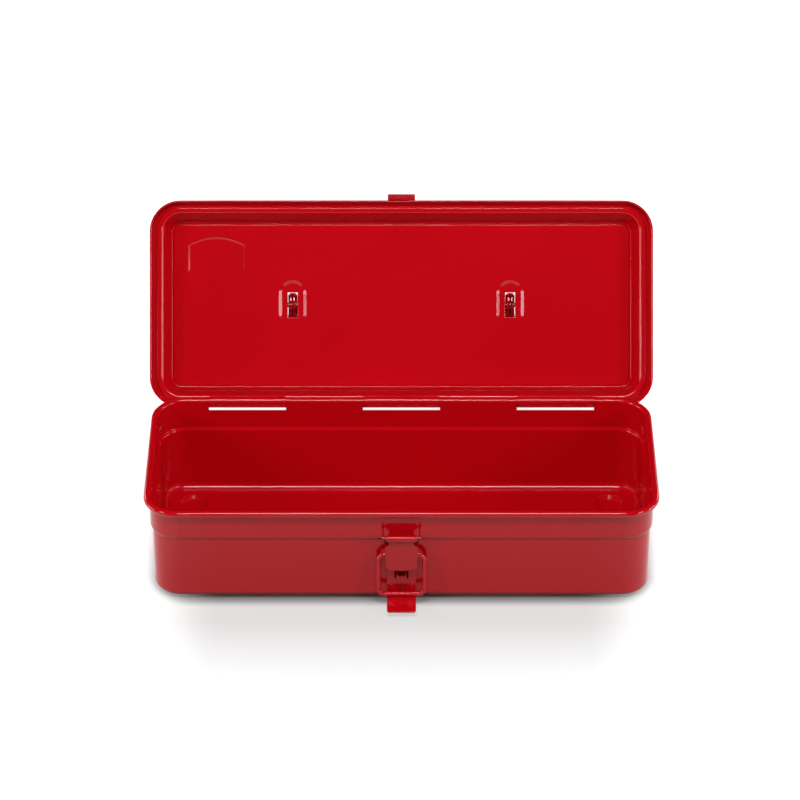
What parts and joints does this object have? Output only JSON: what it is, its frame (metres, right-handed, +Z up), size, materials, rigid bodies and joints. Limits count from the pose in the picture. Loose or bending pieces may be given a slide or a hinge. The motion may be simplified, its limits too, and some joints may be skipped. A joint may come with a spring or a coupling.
{
  "type": "steel tool box",
  "caption": "Small pressed-steel tool box in red enamel, standing open: a tub with a rolled rim, a lid that swings back, a folding carrying handle and an over-centre wire latch.",
  "frame": {"origin": "below the centre of the tub, on the floor that its four pressed feet stand on, so the tub's flat underside is 2 mm above it", "axes": "+X runs along the box to the right as seen from the latch side, +Y from the latch to the hinge, +Z up; stored with the lid swung back, the latch lever down and the handle hanging"},
  "size_m": [0.333, 0.2279, 0.185],
  "materials": {
    "shell_enamel": "gloss enamel",
    "fitting_enamel": "gloss enamel"
  },
  "bodies": {
    "tub": {"body_shell": "shell_enamel", "latch_base": "fitting_enamel", "lever_pin": "fitting_enamel"},
    "lid": {"lid_shell": "shell_enamel", "lid_catch": "fitting_enamel", "handle_pin_left": "fitting_enamel", "handle_pin_right": "fitting_enamel"},
    "handle": {"handle": "fitting_enamel"},
    "lever": {"latch_lever": "fitting_enamel"},
    "loop": {"latch_loop": "fitting_enamel"}
  },
  "joints": [
    {"name": "lid_hinge", "type": "hinge", "parent": "tub", "child": "lid", "pos_m": [0, 0.06415, 0.06975], "axis": [1, 0, 0], "range_deg": [0, 124]},
    {"name": "handle_pivot", "type": "hinge", "parent": "lid", "child": "handle", "pos_m": [0, 0.11855, 0.11043], "axis": [1, 0, 0], "range_deg": [-33.5, 145.5]},
    {"name": "lever_pivot", "type": "hinge", "parent": "tub", "child": "lever", "pos_m": [0, -0.0693, 0.0545], "axis": [-1, 0, 0], "range_deg": [0, 165]},
    {"name": "loop_pivot", "type": "hinge", "parent": "lever", "child": "loop", "pos_m": [0, -0.0656, 0.0396], "axis": [-1, 0, 0], "range_deg": [0, 163.6]}
  ]
}
